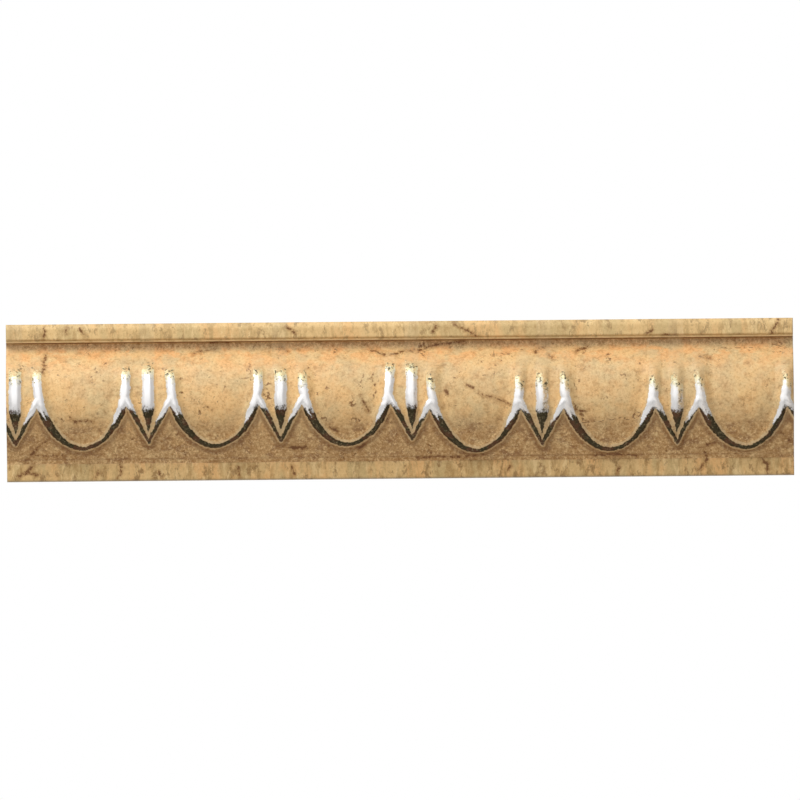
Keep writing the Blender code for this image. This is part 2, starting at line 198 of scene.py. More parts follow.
# The larger veins of the marble print: width, then points along and down, in mm
VEINS = (
    (0.5, (12.6, 37.0), (10.3, 38.4), (8.9, 40.2), (7.6, 41.5), (5.9, 43.8)),
    (0.8, (8.2, 44.9), (6.8, 46.6), (4.8, 47.6), (3.3, 48.6)),
    (0.5, (6.9, 46.7), (9.6, 47.8)),
    (0.2, (8.8, 41.5), (13.5, 41.8), (18.0, 41.6)),
    (0.6, (12.7, 9.9), (11.9, 11.8), (12.4, 13.2), (11.5, 15.2)),
    (0.4, (12.2, 1.2), (12.3, 2.8), (11.8, 4.6)),
    (0.3, (19.2, 0.9), (18.8, 3.2)),
    (0.3, (23.6, 1.5), (24.9, 3.6)),
    (0.4, (36.1, 44.8), (36.4, 46.4), (35.4, 49.0)),
    (0.4, (29.2, 46.6), (28.1, 48.7)),
    (0.4, (48.2, 46.9), (48.9, 49.1)),
    (0.3, (20.2, 29.6), (22.0, 31.1), (24.3, 30.5), (27.2, 31.0)),
    (0.4, (65.0, 6.3), (68.2, 5.9), (70.8, 6.2)),
    (0.2, (59.0, 9.7), (62.5, 9.0), (66.4, 8.2)),
    (0.4, (73.4, 45.6), (74.0, 49.0)),
    (0.4, (86.9, 7.7), (89.4, 9.2)),
    (0.3, (89.1, 1.6), (90.6, 2.4), (92.1, 3.7)),
    (0.9, (90.2, 39.6), (92.4, 39.9), (95.0, 39.7)),
    (0.4, (90.6, 46.2), (91.2, 48.2)),
    (0.6, (102.7, 33.4), (105.1, 34.7)),
    (0.2, (112.4, 23.4), (115.1, 28.6)),
    (0.7, (112.1, 40.2), (113.8, 38.7)),
    (0.4, (116.0, 9.1), (117.8, 9.4), (119.0, 10.3), (123.9, 10.4), (125.8, 9.6), (131.8, 9.2)),
    (0.3, (131.8, 9.2), (136.6, 7.5), (145.7, 6.6)),
    (0.4, (142.5, 1.2), (145.7, 2.6), (149.4, 4.8)),
    (0.4, (135.3, 3.9), (137.2, 1.4)),
    (0.5, (139.4, 21.6), (140.3, 23.3)),
    (0.4, (146.2, 20.4), (148.2, 21.2)),
    (0.2, (149.3, 23.0), (154.5, 24.3), (160.2, 26.6)),
    (0.4, (159.9, 46.0), (158.9, 48.2)),
    (0.3, (130.0, 43.4), (136.0, 43.1), (143.0, 43.3), (152.0, 42.7)),
    (0.5, (168.0, 10.2), (169.4, 9.0), (171.6, 8.4)),
    (0.5, (180.7, 10.2), (184.6, 8.6)),
    (0.5, (172.3, 11.2), (173.6, 12.2)),
    (0.5, (180.2, 28.7), (184.2, 29.1)),
    (0.3, (194.6, 46.2), (193.8, 48.8)),
    (0.4, (203.4, 4.7), (205.4, 3.4)),
    (0.3, (208.8, 5.1), (212.9, 5.2)),
    (0.4, (220.4, 12.0), (223.2, 12.6)),
    (0.3, (187.0, 43.1), (193.0, 42.8), (200.0, 43.2)),
    (0.6, (222.3, 40.1), (224.9, 39.4)),
    (0.5, (221.7, 42.4), (222.4, 44.2), (221.2, 46.4), (219.9, 48.2)),
    (0.7, (239.8, 44.4), (241.7, 46.6), (241.4, 49.2)),
    (0.6, (245.5, 0.9), (243.9, 3.4), (242.9, 5.7)),
    (0.4, (245.9, 36.3), (248.5, 38.9)),
)

FACE_COLUMNS = 730
ROW_STATIONS = (
    (0.0, 1),
    (BEVEL_DOWN, 3),
    (TOP_FILLET_DOWN, 6),
    (STEP_DOWN, 2),
    (LEDGE_DOWN, 3),
    (QUIRK_DOWN, 3),
    (COVE_DOWN, 2),
    (0.0095, 8),
    (0.0410, 86),
    (LOWER_FILLET_DOWN - 0.0001, 9),
    (LOWER_FILLET_DOWN, 1),
    (BOTTOM_EDGE_DOWN, 7),
    (HEIGHT, 2),
)
MERGE_EPSILON = 1e-7

# Colours of the print, of the lustre and of painted light and shade, linear
MARBLE_CREAM = (0.80, 0.510, 0.222, 1.0)
MARBLE_GREY = (0.67, 0.485, 0.245, 1.0)
MARBLE_ORANGE = (0.82, 0.44, 0.175, 1.0)
MARBLE_BROWN = (0.46, 0.260, 0.100, 1.0)
MARBLE_COVE_SHADE = (0.47, 0.29, 0.135, 1.0)
FILLET_CREAM = (0.76, 0.51, 0.225, 1.0)
FILLET_ORANGE = (0.80, 0.47, 0.19, 1.0)
FILLET_GREY = (0.56, 0.41, 0.185, 1.0)
FILLET_STREAK = (0.44, 0.27, 0.10, 1.0)
FILLET_VEIN = (0.24, 0.13, 0.045, 1.0)
GROUND_STAIN = (0.26, 0.125, 0.052, 1.0)
FOOT_SHADE_GREY = (0.30, 0.28, 0.24, 1.0)
RIM_PALE = (0.64, 0.47, 0.26, 1.0)
VEIN_BROWN = (0.155, 0.056, 0.014, 1.0)
MARK_BROWN = (0.31, 0.145, 0.040, 1.0)
MARK_PALE = (0.90, 0.67, 0.34, 1.0)
GRAIN_PALE = (0.88, 0.62, 0.31, 1.0)
LUSTRE_WHITE = (0.93, 0.92, 0.92, 1.0)
LUSTRE_YELLOW = (0.82, 0.73, 0.42, 1.0)
LUSTRE_OLIVE = (0.052, 0.041, 0.020, 1.0)
LUSTRE_BROWN = (0.105, 0.050, 0.026, 1.0)
LUSTRE_GLINT = (0.26, 0.21, 0.12, 1.0)
BISQUE_DARK = (0.62, 0.50, 0.38, 1.0)
BISQUE_PALE = (0.70, 0.60, 0.48, 1.0)

# Where the print and the painted shade change, in mm down: where a change starts and where it is whole
UPPER_ROUND = (17.0, 9.0)
SUNK_GROUND = (27.0, 38.0)
# Painted shade in the cove under the fillet
COVE_SHADE = (8.9, 6.4)
COVE_GRAIN = (8.8, 7.6)
# Painted shade on the bottom edge, which turns down
FILLET_FOOT = (49.4, 49.8)

# Bands of the print and of painted light and shade, in mm down: from nothing to whole, and from whole to
# nothing
ROUND_BAND = (5.75, 5.85, 44.3, 44.4)
# Painted highlight on the ledge's arris; painted shade under the ledge, at the step and in the fold
ARRIS = (5.25, 5.45, 5.75, 5.85)
LEDGE_SHADE = (5.80, 5.92, 6.0, 6.35)
STEP_SHADE = (4.85, 5.0, 5.1, 5.3)
FOLD_SHADE = (42.5, 42.9, 43.0, 43.4)

PHOTO_SPAN = 0.2541
PHOTO_TILT = 0.525
LENS = 1200.0
SENSOR = 36.0
CLIP_END = 20.0
CENTRE = (0.0, 0.0, 0.0)

# The lights: degrees right of the face and above it, and the distance, then size and power
KEY_PLACE = (-40.0, 59.0, 1.2)
KEY_SIZE = (0.7, 0.7)
KEY_POWER = 10.2
FRONT_PLACE = (-20.0, 27.0, 0.9)
FRONT_SIZE = (1.7, 0.95)
FRONT_POWER = 4.1
SURROUND = 0.30
SURROUND_TINT = (1.0, 0.97, 0.93, 1.0)
WHITE = (1.0, 1.0, 1.0, 1.0)
FLOOR_HEIGHT = -0.22
FLOOR_HALF_WIDTH = 0.40
FLOOR_PALE = (0.80, 0.79, 0.77, 1.0)


def smooth(value, start, end):
    """0 before start, 1 after end, with an eased rise between them."""
    share = np.clip((value - start) / (end - start), 0.0, 1.0)
    return share * share * (3.0 - 2.0 * share)


def eased_steps(along, places, values):
    """The values at the places, with an eased change from each to the next."""
    places = np.asarray(places)
    values = np.asarray(values)
    index = np.clip(np.searchsorted(places, along, side="right") - 1, 0, len(places) - 2)
    share = smooth(along, places[index], places[index + 1])
    return values[index] + (values[index + 1] - values[index]) * share


def uneven(along, down, layers):
    """Smooth random heights, the sum of layers of cell size, height and seed."""
    total = np.zeros(along.shape)
    for cell, height, seed in layers:
        shape = (int(LENGTH / cell) + 4, int(HEIGHT / cell) + 4)
        values = np.random.default_rng(seed).uniform(-1.0, 1.0, shape)
        column = np.clip(along / cell, 0.0, shape[0] - 2.001)
        row = np.clip(down / cell, 0.0, shape[1] - 2.001)
        i, j = column.astype(int), row.astype(int)
        s = smooth(column - i, 0.0, 1.0)
        t = smooth(row - j, 0.0, 1.0)
        low = values[i, j] * (1.0 - s) + values[i + 1, j] * s
        high = values[i, j + 1] * (1.0 - s) + values[i + 1, j + 1] * s
        total += height * (low * (1.0 - t) + high * t)
    return total


def carved_window(down):
    """1 where the ornament is, easing out to 0 at the edges."""
    return smooth(down, HANG_FROM, HANG_WHOLE) * (1.0 - smooth(down, HANG_FADES, HANG_GONE))


def hand_modelled(along, down):
    """Moves a point of the even pattern to where the modeller's hand put it."""
    window = carved_window(down)
    slip = eased_steps(along, SLIP_ALONG, SLIP) * window
    hang = eased_steps(along, HANG_ALONG, HANG) * window
    return along + slip, down + hang


def round_depth(down):
    """The fat round without its ornament, an upper and a lower arc that meet at the crest."""
    radius = np.where(down < CREST_DOWN, UPPER_RADIUS, LOWER_RADIUS)
    reach = np.clip(np.abs(down - CREST_DOWN), 0.0, ARC_LIMIT * radius)
    return CREST_DEPTH - radius + np.sqrt(radius**2 - reach**2)


def floor_depth(down):
    """The sunk ground under the frames, which eases out into the lower fillet."""
    rise = np.clip(LOWER_FILLET_DOWN - down, 0.0, None)
    fold = FOLD_STEP * (1.0 - smooth(down, FOLD_DOWN - 0.0003, FOLD_DOWN))
    return FILLET_DEPTH - LOWER_FILLET_STEP + fold + FLOOR_SLOPE * rise**2 / (rise + FLOOR_EASE)


def cove_radius():
    """The radius of the cove that touches both the quirk's floor and the fat round."""
    width = CREST_DOWN - COVE_DOWN
    height = COVE_DEPTH - CREST_DEPTH + UPPER_RADIUS
    return (width**2 + height**2 - UPPER_RADIUS**2) / (2.0 * (UPPER_RADIUS - height))


def cove_end():
    """How far down the cove turns into the fat round."""
    radius = cove_radius()
    return COVE_DOWN + (CREST_DOWN - COVE_DOWN) * radius / (UPPER_RADIUS + radius)


def upper_edge_depth(down):
    """Bevel, fillet, ledge, quirk and cove, down to the fat round."""
    radius = cove_radius()
    reach = np.clip(down - COVE_DOWN, 0.0, COVE_LIMIT * radius)
    cove = COVE_DEPTH + radius - np.sqrt(radius**2 - reach**2)
    stations = (0.0, BEVEL_DOWN, TOP_FILLET_DOWN, STEP_DOWN, LEDGE_DOWN, QUIRK_DOWN)
    depths = (FILLET_DEPTH - BEVEL_DROP, FILLET_DEPTH, FILLET_DEPTH, LEDGE_DEPTH, LEDGE_DEPTH, COVE_DEPTH)
    return np.where(down < COVE_DOWN, np.interp(down, stations, depths), cove)


def lower_edge_depth(down):
    """The lower fillet and its small rounded bottom edge."""
    stations = (LOWER_FILLET_DOWN, BOTTOM_EDGE_DOWN, HEIGHT)
    return np.interp(down, stations, (FILLET_DEPTH, FILLET_DEPTH, FILLET_DEPTH - BOTTOM_EDGE_DROP))


def arch_path(count):
    """The crest of half a frame, from the top of its stem to the foot of the arch."""
    turn = np.linspace(0.0, np.pi / 2, count)
    power = 2.0 / ARCH_POWER
    across = HALF_PITCH - ARCH_HALF_WIDTH * np.cos(turn).clip(0.0) ** power
    down = ARCH_CENTRE_DOWN + ARCH_DROP * np.sin(turn).clip(0.0) ** power
    stem = np.array([[STEM_TOP_ACROSS, STEM_START_DOWN]])
    return np.vstack([stem, np.column_stack([across, down])])


def v_path():
    """The crest of half the V that joins two frames under a dart."""
    return np.array([[FORK_ACROSS, FORK_DOWN], [0.0, V_TIP_DOWN]])


def distance_to(path, across, down):
    """The shortest distance from each point to a path of straight stretches."""
    nearest = np.full(across.shape, np.inf)
    for start, end in zip(path[:-1], path[1:]):
        step = end - start
        share = ((across - start[0]) * step[0] + (down - start[1]) * step[1]) / (step @ step)
        share = np.clip(share, 0.0, 1.0)
        gap = np.hypot(across - start[0] - share * step[0], down - start[1] - share * step[1])
        nearest = np.minimum(nearest, gap)
    return nearest


def arch_band(down):
    """Half the width of the flat band along the crest of a frame."""
    share = np.clip((down - BAND_NARROWS_FROM) / (V_TIP_DOWN - BAND_NARROWS_FROM + 0.0015), 0.0, 1.0)
    return BAND_WIDE - (BAND_WIDE - BAND_NARROW) * share**1.6


def v_band(down):
    """Half the width of the band along the crest of the V."""
    share = np.clip((down - FORK_DOWN) / (V_TIP_DOWN - FORK_DOWN), 0.0, 1.0)
    return V_BAND_WIDE + (V_BAND_NARROW - V_BAND_WIDE) * share


def egg_side_slope(down):
    """The width of the slope from a frame's crest down to its egg."""
    share = np.clip((down - BAND_NARROWS_FROM) / (V_TIP_DOWN - BAND_NARROWS_FROM), 0.0, 1.0)
    return EGG_SIDE_WIDE + (EGG_SIDE_NARROW - EGG_SIDE_WIDE) * share


def bump(distance, reach, power):
    """1 on a crest, falling in a rounded slope to 0 at its foot."""
    share = np.clip(distance / reach, 0.0, 1.0)
    return (1.0 - share**2) ** power


def dart_half_width(down):
    """Half the width of a dart, which tapers to its tip."""
    share = np.clip((down - DART_TAPERS_FROM) / (DART_TIP_DOWN - DART_TAPERS_FROM), 0.0, 1.0)
    return DART_HALF_WIDTH * (1.0 - share)


def crest_depth(down):
    """The depth of the frames' crest: above the round on the stems, above the floor further down."""
    starts = smooth(down, STEM_START_DOWN, STEM_FULL_DOWN)
    on_round = round_depth(down) + FRAME_RISE * starts
    on_floor = floor_depth(down) + FRAME_RISE_ON_FLOOR
    return on_round + (on_floor - on_round) * smooth(down, CREST_DOWN - 0.001, CREST_DOWN + 0.0055)


def from_dart(along):
    """How far right of the nearest dart's centre line each point is."""
    return (along - FIRST_DART + HALF_PITCH) % PITCH - HALF_PITCH


def ornament(along, pattern_down, down):
    """The depth of eggs, darts, frames and ground, and how far inside the lustre each point is."""
    across = np.abs(from_dart(along))
    arch_gap = distance_to(arch_path(40), across, pattern_down)
    v_gap = distance_to(v_path(), across, pattern_down)
    crest = crest_depth(down)
    field = round_depth(down)
    floor = floor_depth(down)

    reach_up = np.clip((pattern_down - ARCH_CENTRE_DOWN) / ARCH_DROP, 0.0, None)
    reach_side = np.clip((HALF_PITCH - across) / ARCH_HALF_WIDTH, 0.0, None)
    in_arch = reach_up**ARCH_POWER + reach_side**ARCH_POWER < 1.0
    v_line = V_TIP_DOWN - (V_TIP_DOWN - FORK_DOWN) * across / FORK_ACROSS
    in_ground = ~in_arch & (pattern_down > np.maximum(v_line, FORK_DOWN - 0.0010))

    out_reach = np.maximum(arch_band(pattern_down), v_band(pattern_down)) + OUTER_SLOPE
    ground = floor + (crest - floor) * bump(np.minimum(arch_gap, v_gap), out_reach, 1.5)

    egg_radius = np.hypot((HALF_PITCH - across) / EGG_HALF_WIDTH,
                          np.clip(pattern_down - EGG_CENTRE_DOWN, 0.0, None) / EGG_DROP)
    shape = smooth(down, EGG_CENTRE_DOWN - 0.004, EGG_CENTRE_DOWN + 0.008)
    egg = field - EGG_ROUNDING * shape * np.clip(egg_radius, 0.0, 1.0) ** 4
    sunk = EGG_SUNK + (EGG_SUNK_LOW - EGG_SUNK) * smooth(down, CREST_DOWN + 0.004, V_TIP_DOWN - 0.001)
    egg = np.maximum(egg, crest - sunk)
    softness = 2.0 - 0.7 * smooth(pattern_down, CREST_DOWN, V_TIP_DOWN)
    egg = egg + (crest - egg) * bump(arch_gap, egg_side_slope(pattern_down), softness)

    on_stem = bump(arch_gap, arch_band(pattern_down) + DART_SIDE_SLOPE, 1.5)
    on_v = bump(v_gap, v_band(pattern_down) + DART_SIDE_SLOPE, 1.5)
    between = field + (crest - field) * np.maximum(on_stem, on_v)
    half_width = dart_half_width(pattern_down)
    rise = DART_RISE * smooth(down, STEM_START_DOWN, STEM_FULL_DOWN)
    rise = rise * np.clip(half_width / DART_HALF_WIDTH * 1.6, 0.0, 1.0)
    dart = field + rise * bump(across, half_width + DART_SLOPE, 1.5)
    dart = dart - DART_CREASE * rise / DART_RISE * bump(across, DART_CREASE_WIDTH, 1.0)
    between = np.maximum(between, dart)

    depth = np.where(in_ground, ground, np.where(in_arch, egg, between))
    crest_side = np.where(in_arch, arch_gap, np.where(in_ground, -np.minimum(arch_gap, v_gap), v_gap))
    faces_left = np.where(in_arch, -1.0, 1.0) * from_dart(along) > 0.0
    lustre = lustre_inside(across, pattern_down, arch_gap, v_gap, in_arch & faces_left)
    return depth, lustre, crest_side, faces_left


def lustre_inside(across, pattern_down, arch_gap, v_gap, on_right):
    """How far inside the painted lustre each point is, less than 0 outside it."""
    lowest = ARCH_CENTRE_DOWN + ARCH_DROP
    share = np.clip((pattern_down - LUSTRE_NARROWS_FROM) / (lowest - LUSTRE_NARROWS_FROM), 0.0, 1.0)
    on_arch = LUSTRE_WIDE + (LUSTRE_NARROW - LUSTRE_WIDE) * share**1.8 - arch_gap
    less = smooth(pattern_down, LESS_FROM, LESS_WHOLE)
    less = less * (1.0 - 0.8 * smooth(pattern_down, LESS_FADES, LESS_FADED))
    on_arch -= LUSTRE_LESS_ON_RIGHT * on_right * less
    share = np.clip((pattern_down - FORK_DOWN) / (V_TIP_DOWN - FORK_DOWN), 0.0, 1.0)
    on_v = V_LUSTRE_WIDE + (V_LUSTRE_NARROW - V_LUSTRE_WIDE) * share - v_gap
    past_tip = np.clip(pattern_down - DART_TIP_DOWN, 0.0, None)
    on_dart = dart_half_width(pattern_down) + DART_LUSTRE_EXTRA - np.hypot(across, past_tip)
    return np.maximum(np.maximum(on_arch, on_v), on_dart)


def below_change(along, pattern_down, crest_side, faces_left):
    """How far below the change from bright to painted dark lustre each point is; the dark is a painted
    reflection of the shade below.
    """
    on_dart = np.abs(from_dart(along)) < FORK_ACROSS / 3
    lower = np.where(faces_left, DARK_LOWER_FACING_LEFT, DARK_LOWER_FACING_RIGHT)
    change = DARK_FROM + lower * np.clip(0.5 + 0.5 * crest_side / CREST_SIDES, 0.0, 1.0)
    return pattern_down - np.where(on_dart, DARK_FROM_ON_DART, change)


def lustre_off_unlit_side(along, pattern_down):
    """How much lustre is taken off near the right end, a painted loss of reflection on sides turned from the
    light: on the right of the darts, and of the stems high up.
    """
    crests = np.array([-FORK_ACROSS, 0.0, FORK_ACROSS])
    offsets = from_dart(along)[..., None] - crests
    nearest = np.abs(offsets).argmin(axis=-1)
    right_of_crest = np.take_along_axis(offsets, nearest[..., None], axis=-1)[..., 0]
    low_on_stem = (nearest != 1) * smooth(pattern_down, STEM_UNLIT_TO, STEM_KEPT_FROM)
    unlit_side = smooth(along, UNLIT_SIDE_FROM, UNLIT_SIDE_WHOLE) * smooth(right_of_crest, -0.0002, 0.0008)
    return unlit_side * (1.0 - KEPT_ON_STEM * low_on_stem)


def vein_gap(along, down):
    """The distance from the nearest printed vein, less than 0 inside it."""
    nearest = np.full(along.shape, np.inf)
    for width, *points in VEINS:
        path = np.array(points) * MM
        nearest = np.minimum(nearest, distance_to(path, along, down) - width * MM / 2)
    return nearest


def lustre_top(along):
    """How far down the lustre starts, for the nearest stem or dart."""
    repeat = np.clip(np.round((along - FIRST_DART) / PITCH), 0, len(LUSTRE_TOPS) - 1).astype(int)
    offset = along - FIRST_DART - repeat * PITCH
    column = np.where(offset < -FORK_ACROSS / 2, 0, np.where(offset > FORK_ACROSS / 2, 2, 1))
    return np.array(LUSTRE_TOPS)[repeat, column] * MM


def face_rows():
    """How far down each row of the face's grid lies."""
    rows = [0.0]
    for (start, _), (end, count) in zip(ROW_STATIONS[:-1], ROW_STATIONS[1:]):
        rows += list(np.linspace(start, end, count + 1)[1:])
    return np.array(rows)


def face_columns():
    """How far along each column lies, with two close ones at each end for its rounding."""
    inner = np.linspace(END_ROUNDING, LENGTH - END_ROUNDING, FACE_COLUMNS)
    ends = [0.0, END_ROUNDING * 0.4]
    return np.concatenate([ends, inner, [LENGTH - end for end in reversed(ends)]])


def face_surface():
    """The face's grid: positions and the values that its material reads."""
    along, pattern_down = np.meshgrid(face_columns(), face_rows(), indexing="ij")
    moved_along, down = hand_modelled(along, pattern_down)
    window = carved_window(down)
    wobble = uneven(along, pattern_down, EDGE_WOBBLE) * window
    depth, lustre, crest_side, faces_left = ornament(along + wobble, pattern_down + wobble, down)
    depth = np.where(down < cove_end(), upper_edge_depth(down), depth)
    depth = np.where(down > LOWER_FILLET_DOWN - MERGE_EPSILON, lower_edge_depth(down), depth)
    on_round = smooth(down, COVE_DOWN, COVE_DOWN + 0.004) * (1.0 - smooth(down, 0.0425, 0.0440))
    depth = depth + uneven(along, down, LUMPS) * (0.25 + 0.75 * on_round)
    from_end = np.minimum(along, LENGTH - along)
    rounding = np.clip(1.0 - from_end / END_ROUNDING, 0.0, 1.0)
    depth = depth - END_ROUNDING * (1.0 - np.sqrt(1.0 - rounding**2))
    points = np.stack([moved_along - LENGTH / 2, -depth, HEIGHT / 2 - down], axis=-1)
    values = {
        "crest_side": crest_side / MM,
        # painted reflection: where the lustre is painted dark
        "dark": below_change(along, pattern_down, crest_side, faces_left) / MM,
        # painted reflection: where the lustre is taken off its unlit side
        "unlit_side": lustre_off_unlit_side(along, pattern_down),
        "vein": vein_gap(moved_along, down) / MM,
        "lustre": lustre / MM,
        "lustre_fade": (down - lustre_top(along)) / MM,
        "down": down / MM,
    }
    return points, values


def recess_rectangles():
    """The keying recesses of the back, as low and high corners along and down."""
    width = (LENGTH - 2 * BACK_MARGIN - (RECESS_COLUMNS - 1) * COLUMN_LAND) / RECESS_COLUMNS
    height = (HEIGHT - 2 * BACK_MARGIN - (RECESS_ROWS - 1) * ROW_LAND) / RECESS_ROWS
    rectangles = []
    for column in range(RECESS_COLUMNS):
        for row in range(RECESS_ROWS):
            low_along = BACK_MARGIN + column * (width + COLUMN_LAND)
            low_down = BACK_MARGIN + row * (height + ROW_LAND)
            rectangles.append((low_along, low_down, low_along + width, low_down + height))
    return rectangles


def corners(rectangle, inset=0.0):
    """The four corners of a rectangle, in order, moved in by the inset."""
    low_along, low_down, high_along, high_down = rectangle
    return [
        (low_along + inset, low_down + inset),
        (high_along - inset, low_down + inset),
        (high_along - inset, high_down - inset),
        (low_along + inset, high_down - inset),
    ]


def outline_indices(columns, rows):
    """The grid's outline, in order round the face."""
    order = [(i, 0) for i in range(columns)]
    order += [(columns - 1, j) for j in range(1, rows)]
    order += [(i, rows - 1) for i in range(columns - 2, -1, -1)]
    order += [(0, j) for j in range(rows - 2, 0, -1)]
    return order


def add_back(work, outline):
    """The flat back with its recesses. Returns the vertices of its outline."""
    rectangles = recess_rectangles()
    flat = list(outline)
    edges = []
    for rectangle in rectangles:
        start = len(flat)
        flat += corners(rectangle)
        edges += [(start + index, start + (index + 1) % 4) for index in range(4)]
    vertices = [work.verts.new((along - LENGTH / 2, 0.0, HEIGHT / 2 - down)) for along, down in flat]
    result = delaunay_2d_cdt([Vector(point) for point in flat], edges, [], 0, MERGE_EPSILON)
    for face in result[2]:
        face = [result[3][index][0] for index in face]
        along, down = np.mean([flat[index] for index in face], axis=0)
        if not any(r[0] < along < r[2] and r[1] < down < r[3] for r in rectangles):
            work.faces.new([vertices[index] for index in face])
    for number, rectangle in enumerate(rectangles):
        start = len(outline) + 4 * number
        rim = vertices[start:start + 4]
        floor = [work.verts.new((along - LENGTH / 2, -RECESS_DEPTH, HEIGHT / 2 - down))
                 for along, down in corners(rectangle, RECESS_DRAFT)]
        for index in range(4):
            following = (index + 1) % 4
            work.faces.new([rim[index], rim[following], floor[following], floor[index]])
        work.faces.new(floor)
    return vertices[:len(outline)]


def make_moulding(materials):
    """One closed mesh: the fine face, the square edges and the back."""
    points, values = face_surface()
    columns, rows = points.shape[:2]
    work = bmesh.new()
    grid = [[work.verts.new(points[i, j]) for j in range(rows)] for i in range(columns)]
    for i in range(columns - 1):
        for j in range(rows - 1):
            work.faces.new([grid[i][j], grid[i + 1][j], grid[i + 1][j + 1], grid[i][j + 1]])
    face_count = len(work.faces)
    order = outline_indices(columns, rows)
    outline = [(points[i, j, 0] + LENGTH / 2, HEIGHT / 2 - points[i, j, 2]) for i, j in order]
    back = add_back(work, outline)
    for index in range(len(order)):
        following = (index + 1) % len(order)
        front = [grid[i][j] for i, j in (order[index], order[following])]
        work.faces.new([front[0], front[1], back[following], back[index]])
    for number, face in enumerate(work.faces):
        face.material_index = 0 if number < face_count else 1
        face.smooth = number < face_count
    bmesh.ops.recalc_face_normals(work, faces=work.faces[:])
    mesh = bpy.data.meshes.new("moulding_glazed")
    work.to_mesh(mesh)
    work.free()
    for name, value in values.items():
        layer = mesh.attributes.new(name, "FLOAT", "POINT")
        filled = np.zeros(len(mesh.vertices), np.float32)
        filled[:columns * rows] = value.reshape(-1)
        layer.data.foreach_set("value", filled)
    for material in materials:
        mesh.materials.append(material)
    piece = bpy.data.objects.new("moulding_glazed", mesh)
    bpy.context.scene.collection.objects.link(piece)
    return piece


class Graph:
    """Short calls that add and join the nodes of one material."""

    def __init__(self, name):
        self.material = bpy.data.materials.new(name)
        self.material.use_nodes = True
        self.tree = self.material.node_tree
        self.shader = self.tree.nodes["Principled BSDF"]
        self.place = self.node("ShaderNodeTexCoord").outputs["Object"]

    def node(self, kind, **settings):
        """A new node of this kind with these settings."""
        made = self.tree.nodes.new(kind)
        for name, value in settings.items():
            setattr(made, name, value)
        return made

    def put(self, socket, value):
        """Joins a socket to the one given, or sets it to the value given."""
        if isinstance(value, bpy.types.NodeSocket):
            self.tree.links.new(value, socket)
        else:
            socket.default_value = value

    def attribute(self, name):
        """A value that the mesh holds for each of its points."""
        return self.node("ShaderNodeAttribute", attribute_name=name).outputs["Fac"]

    def math(self, operation, first, second):
        """One sum, difference, product or maximum."""
        made = self.node("ShaderNodeMath", operation=operation)
        self.put(made.inputs[0], first)
        self.put(made.inputs[1], second)
        return made.outputs[0]

    def times(self, first, *others):
        """The product of two or more values."""
        for other in others:
            first = self.math("MULTIPLY", first, other)
        return first

    def share(self, value, start, end, low=0.0, high=1.0):
        """Maps start to end onto low to high, and holds it there beyond them."""
        made = self.node("ShaderNodeMapRange", interpolation_type="SMOOTHSTEP")
        names = ("Value", "From Min", "From Max", "To Min", "To Max")
        for name, given in zip(names, (value, start, end, low, high)):
            self.put(made.inputs[name], given)
        return made.outputs["Result"]

    def band(self, value, start, full, fades, gone):
        """1 from full to fades, easing out to 0 at start and at gone."""
        return self.times(self.share(value, start, full), self.share(value, gone, fades))

    def noise(self, size, detail=2.0, roughness=0.5, stretch=(1.0, 1.0, 1.0), shift=0.0, turn=0.0):
        """Noise whose lumps are about this size, in metres, times the stretch."""
        mapping = self.node("ShaderNodeMapping")
        self.put(mapping.inputs["Vector"], self.place)
        mapping.inputs["Scale"].default_value = [1.0 / s for s in stretch]
        mapping.inputs["Location"].default_value = (shift, shift, shift)
        mapping.inputs["Rotation"].default_value = (0.0, np.radians(turn), 0.0)
        made = self.node("ShaderNodeTexNoise")
        self.put(made.inputs["Vector"], mapping.outputs["Vector"])
        made.inputs["Scale"].default_value = 1.0 / size
        made.inputs["Detail"].default_value = detail
        made.inputs["Roughness"].default_value = roughness
        return made.outputs["Fac"]

    def noise_colour(self, size, detail=2.0):
        """Noise with three separate values, to bend a pattern with."""
        made = self.node("ShaderNodeTexNoise")
        self.put(made.inputs["Vector"], self.place)
        made.inputs["Scale"].default_value = 1.0 / size
        made.inputs["Detail"].default_value = detail
        return made.outputs["Color"]

    def crack_gap(self, size, bend, amount):
        """The distance from the nearest crack of a net of bent cracks, in shares of its cell size."""
        scaled = self.node("ShaderNodeVectorMath", operation="SCALE")
        self.put(scaled.inputs[0], self.place)
        scaled.inputs["Scale"].default_value = 1.0 / size
        moved = self.node("ShaderNodeVectorMath", operation="MULTIPLY_ADD")
        self.put(moved.inputs[0], bend)
        moved.inputs[1].default_value = (amount, amount, amount)
        self.put(moved.inputs[2], scaled.outputs[0])
        cells = self.node("ShaderNodeTexVoronoi", feature="DISTANCE_TO_EDGE")
        self.put(cells.inputs["Vector"], moved.outputs[0])
        cells.inputs["Scale"].default_value = 1.0
        return cells.outputs["Distance"]

    def mix(self, share, first, second):
        """The first colour where share is 0, and the second where it is 1."""
        made = self.node("ShaderNodeMix", data_type="RGBA")
        sockets = [socket for socket in made.inputs if socket.type == "RGBA"]
        self.put(made.inputs[0], share)
        self.put(sockets[0], first)
        self.put(sockets[1], second)
        return [socket for socket in made.outputs if socket.type == "RGBA"][0]


def marble_tone(graph, down):
    """The printed marble's base tone: warmer at the top of the round, browner on the sunk ground, and with
    painted shade in the cove under the fillet.
    """
    clouds = graph.noise(0.010, detail=3.0, roughness=0.6)
    tone = graph.mix(graph.share(clouds, 0.36, 0.64), MARBLE_CREAM, MARBLE_GREY)
    warm = graph.share(graph.noise(0.0055, detail=4.0, roughness=0.6, shift=0.31), 0.42, 0.60)
    upper = graph.share(down, *UPPER_ROUND, 0.25, 1.0)
    tone = graph.mix(graph.times(upper, warm), tone, MARBLE_ORANGE)
    tone = graph.mix(graph.share(down, *SUNK_GROUND, 0.0, 0.85), tone, MARBLE_BROWN)
    # Painted shade in the cove, under the fillet's edge
    return graph.mix(graph.share(down, *COVE_SHADE, 0.0, 0.80), tone, MARBLE_COVE_SHADE)


